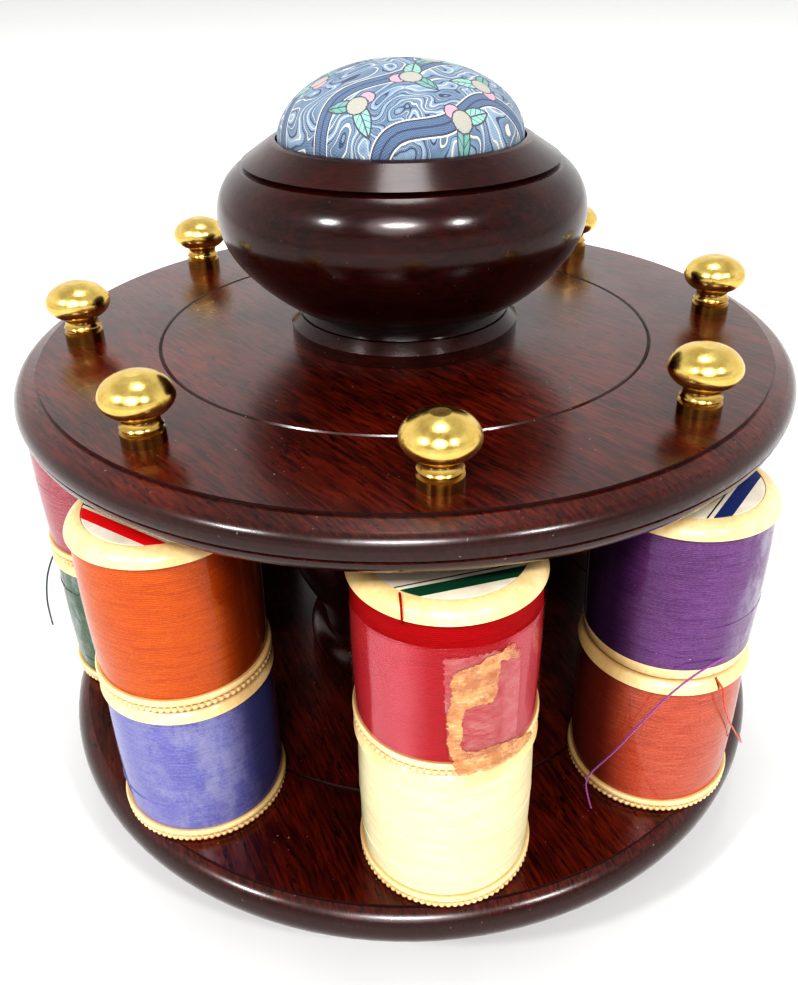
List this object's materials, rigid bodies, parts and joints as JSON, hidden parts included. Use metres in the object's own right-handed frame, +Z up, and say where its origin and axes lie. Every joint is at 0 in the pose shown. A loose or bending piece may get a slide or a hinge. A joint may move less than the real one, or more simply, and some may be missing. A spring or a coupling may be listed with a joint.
{
  "type": "revolving cotton reel stand",
  "caption": "Turned mahogany revolving stand holding cotton reels on brass-knobbed lift-out pins between two discs, with a fabric pincushion bowl on top.",
  "frame": {"origin": "on the resting surface, under the centre of the round base", "axes": "+Z up along the spin axis; -Y points at reel station 1, and the stations count anticlockwise seen from above"},
  "size_m": [0.1584, 0.1514, 0.1428],
  "materials": {
    "mahogany": "glossy varnish over red-brown open-grain hardwood",
    "reel_wood": "pale turned hardwood, satin",
    "brass": "polished turned brass",
    "steel": "plain bright steel",
    "printed_fabric": "fine plain-weave cotton with a swirling blue, green and cream print",
    "green_felt": "thin wool felt",
    "label_paper": "printed paper reel label, smooth",
    "clear_wrap": "thin clear cellophane sleeve",
    "tape_residue": "torn remains of yellowed adhesive tape",
    "thread_crimson": "closely wound cotton sewing thread, soft sheen",
    "thread_cream": "closely wound cotton sewing thread, soft sheen",
    "thread_purple": "closely wound cotton sewing thread, soft sheen",
    "thread_brick_red": "closely wound cotton sewing thread, soft sheen",
    "thread_teal": "closely wound cotton sewing thread, soft sheen",
    "thread_white": "closely wound cotton sewing thread, soft sheen",
    "thread_grey_taupe": "closely wound cotton sewing thread, soft sheen",
    "thread_navy": "closely wound cotton sewing thread, soft sheen",
    "thread_golden_yellow": "closely wound cotton sewing thread, soft sheen",
    "thread_bottle_green": "closely wound cotton sewing thread, soft sheen",
    "thread_rose_pink": "closely wound cotton sewing thread, soft sheen",
    "thread_brown": "closely wound cotton sewing thread, soft sheen",
    "thread_plum": "closely wound cotton sewing thread, soft sheen",
    "thread_dark_green": "closely wound cotton sewing thread, soft sheen",
    "thread_orange": "closely wound cotton sewing thread, soft sheen",
    "thread_lavender_blue": "closely wound cotton sewing thread, soft sheen"
  },
  "bodies": {
    "base": {"base_plinth": "mahogany", "base_felt": "green_felt", "pivot_washers": "steel"},
    "carousel": {"bottom_disc": "mahogany", "column": "mahogany", "top_disc": "mahogany", "bowl": "mahogany", "pincushion": "printed_fabric", "pivot_bolt": "steel"},
    "pin_1": {"knob_1": "brass", "rod_1": "steel"},
    "reel_1_lower": {"spool_1_lower": "reel_wood", "thread_1_lower": "thread_cream"},
    "reel_1_upper": {"spool_1_upper": "reel_wood", "thread_1_upper": "thread_crimson"},
    "pin_2": {"knob_2": "brass", "rod_2": "steel"},
    "reel_2_lower": {"spool_2_lower": "reel_wood", "thread_2_lower": "thread_brick_red", "thread_tail_2_lower": "thread_brick_red"},
    "reel_2_upper": {"spool_2_upper": "reel_wood", "thread_2_upper": "thread_purple", "thread_tail_2_upper": "thread_purple"},
    "pin_3": {"knob_3": "brass", "rod_3": "steel"},
    "reel_3_lower": {"spool_3_lower": "reel_wood", "thread_3_lower": "thread_white"},
    "reel_3_upper": {"spool_3_upper": "reel_wood", "thread_3_upper": "thread_teal"},
    "pin_4": {"knob_4": "brass", "rod_4": "steel"},
    "reel_4_lower": {"spool_4_lower": "reel_wood", "thread_4_lower": "thread_navy"},
    "reel_4_upper": {"spool_4_upper": "reel_wood", "thread_4_upper": "thread_grey_taupe"},
    "pin_5": {"knob_5": "brass", "rod_5": "steel"},
    "reel_5_lower": {"spool_5_lower": "reel_wood", "thread_5_lower": "thread_bottle_green"},
    "reel_5_upper": {"spool_5_upper": "reel_wood", "thread_5_upper": "thread_golden_yellow"},
    "pin_6": {"knob_6": "brass", "rod_6": "steel"},
    "reel_6_lower": {"spool_6_lower": "reel_wood", "thread_6_lower": "thread_brown"},
    "reel_6_upper": {"spool_6_upper": "reel_wood", "thread_6_upper": "thread_rose_pink"},
    "pin_7": {"knob_7": "brass", "rod_7": "steel"},
    "reel_7_lower": {"spool_7_lower": "reel_wood", "thread_7_lower": "thread_dark_green", "thread_tail_7_lower": "thread_dark_green"},
    "reel_7_upper": {"spool_7_upper": "reel_wood", "thread_7_upper": "thread_plum"},
    "pin_8": {"knob_8": "brass", "rod_8": "steel"},
    "reel_8_lower": {"spool_8_lower": "reel_wood", "thread_8_lower": "thread_lavender_blue"},
    "reel_8_upper": {"spool_8_upper": "reel_wood", "thread_8_upper": "thread_orange"}
  },
  "joints": [
    {"name": "carousel_spin", "type": "hinge", "parent": "base", "child": "carousel", "pos_m": [0, 0, 0.0105], "axis": [0, 0, 1], "continuous": true},
    {"name": "pin_1_lift", "type": "slide", "parent": "carousel", "child": "pin_1", "axis": [0, 0, 1], "range_m": [0, 0.085]},
    {"name": "reel_1_lower_spin", "type": "hinge", "parent": "carousel", "child": "reel_1_lower", "pos_m": [0.0012, -0.0587, 0.02005], "axis": [0, 0, 1], "continuous": true},
    {"name": "reel_1_upper_spin", "type": "hinge", "parent": "carousel", "child": "reel_1_upper", "pos_m": [0.0012, -0.0587, 0.0515], "axis": [0, 0, 1], "continuous": true},
    {"name": "pin_2_lift", "type": "slide", "parent": "carousel", "child": "pin_2", "axis": [0, 0, 1], "range_m": [0, 0.085]},
    {"name": "reel_2_lower_spin", "type": "hinge", "parent": "carousel", "child": "reel_2_lower", "pos_m": [0.04306, -0.04306, 0.02005], "axis": [0, 0, 1], "continuous": true},
    {"name": "reel_2_upper_spin", "type": "hinge", "parent": "carousel", "child": "reel_2_upper", "pos_m": [0.04306, -0.04306, 0.0515], "axis": [0, 0, 1], "continuous": true},
    {"name": "pin_3_lift", "type": "slide", "parent": "carousel", "child": "pin_3", "axis": [0, 0, 1], "range_m": [0, 0.085]},
    {"name": "reel_3_lower_spin", "type": "hinge", "parent": "carousel", "child": "reel_3_lower", "pos_m": [0.0593, 0.0004, 0.02005], "axis": [0, 0, 1], "continuous": true},
    {"name": "reel_3_upper_spin", "type": "hinge", "parent": "carousel", "child": "reel_3_upper", "pos_m": [0.0593, 0.0004, 0.0515], "axis": [0, 0, 1], "continuous": true},
    {"name": "pin_4_lift", "type": "slide", "parent": "carousel", "child": "pin_4", "axis": [0, 0, 1], "range_m": [0, 0.085]},
    {"name": "reel_4_lower_spin", "type": "hinge", "parent": "carousel", "child": "reel_4_lower", "pos_m": [0.04216, 0.04186, 0.02005], "axis": [0, 0, 1], "continuous": true},
    {"name": "reel_4_upper_spin", "type": "hinge", "parent": "carousel", "child": "reel_4_upper", "pos_m": [0.04216, 0.04186, 0.0515], "axis": [0, 0, 1], "continuous": true},
    {"name": "pin_5_lift", "type": "slide", "parent": "carousel", "child": "pin_5", "axis": [0, 0, 1], "range_m": [0, 0.085]},
    {"name": "reel_5_lower_spin", "type": "hinge", "parent": "carousel", "child": "reel_5_lower", "pos_m": [0.0003, 0.059, 0.02005], "axis": [0, 0, 1], "continuous": true},
    {"name": "reel_5_upper_spin", "type": "hinge", "parent": "carousel", "child": "reel_5_upper", "pos_m": [0.0003, 0.059, 0.0515], "axis": [0, 0, 1], "continuous": true},
    {"name": "pin_6_lift", "type": "slide", "parent": "carousel", "child": "pin_6", "axis": [0, 0, 1], "range_m": [0, 0.085]},
    {"name": "reel_6_lower_spin", "type": "hinge", "parent": "carousel", "child": "reel_6_lower", "pos_m": [-0.04156, 0.04226, 0.02005], "axis": [0, 0, 1], "continuous": true},
    {"name": "reel_6_upper_spin", "type": "hinge", "parent": "carousel", "child": "reel_6_upper", "pos_m": [-0.04156, 0.04226, 0.0515], "axis": [0, 0, 1], "continuous": true},
    {"name": "pin_7_lift", "type": "slide", "parent": "carousel", "child": "pin_7", "axis": [0, 0, 1], "range_m": [0, 0.085]},
    {"name": "reel_7_lower_spin", "type": "hinge", "parent": "carousel", "child": "reel_7_lower", "pos_m": [-0.0609, 0, 0.02005], "axis": [0, 0, 1], "continuous": true},
    {"name": "reel_7_upper_spin", "type": "hinge", "parent": "carousel", "child": "reel_7_upper", "pos_m": [-0.0609, 0, 0.0515], "axis": [0, 0, 1], "continuous": true},
    {"name": "pin_8_lift", "type": "slide", "parent": "carousel", "child": "pin_8", "axis": [0, 0, 1], "range_m": [0, 0.085]},
    {"name": "reel_8_lower_spin", "type": "hinge", "parent": "carousel", "child": "reel_8_lower", "pos_m": [-0.04296, -0.04116, 0.02005], "axis": [0, 0, 1], "continuous": true},
    {"name": "reel_8_upper_spin", "type": "hinge", "parent": "carousel", "child": "reel_8_upper", "pos_m": [-0.04296, -0.04116, 0.0515], "axis": [0, 0, 1], "continuous": true}
  ]
}
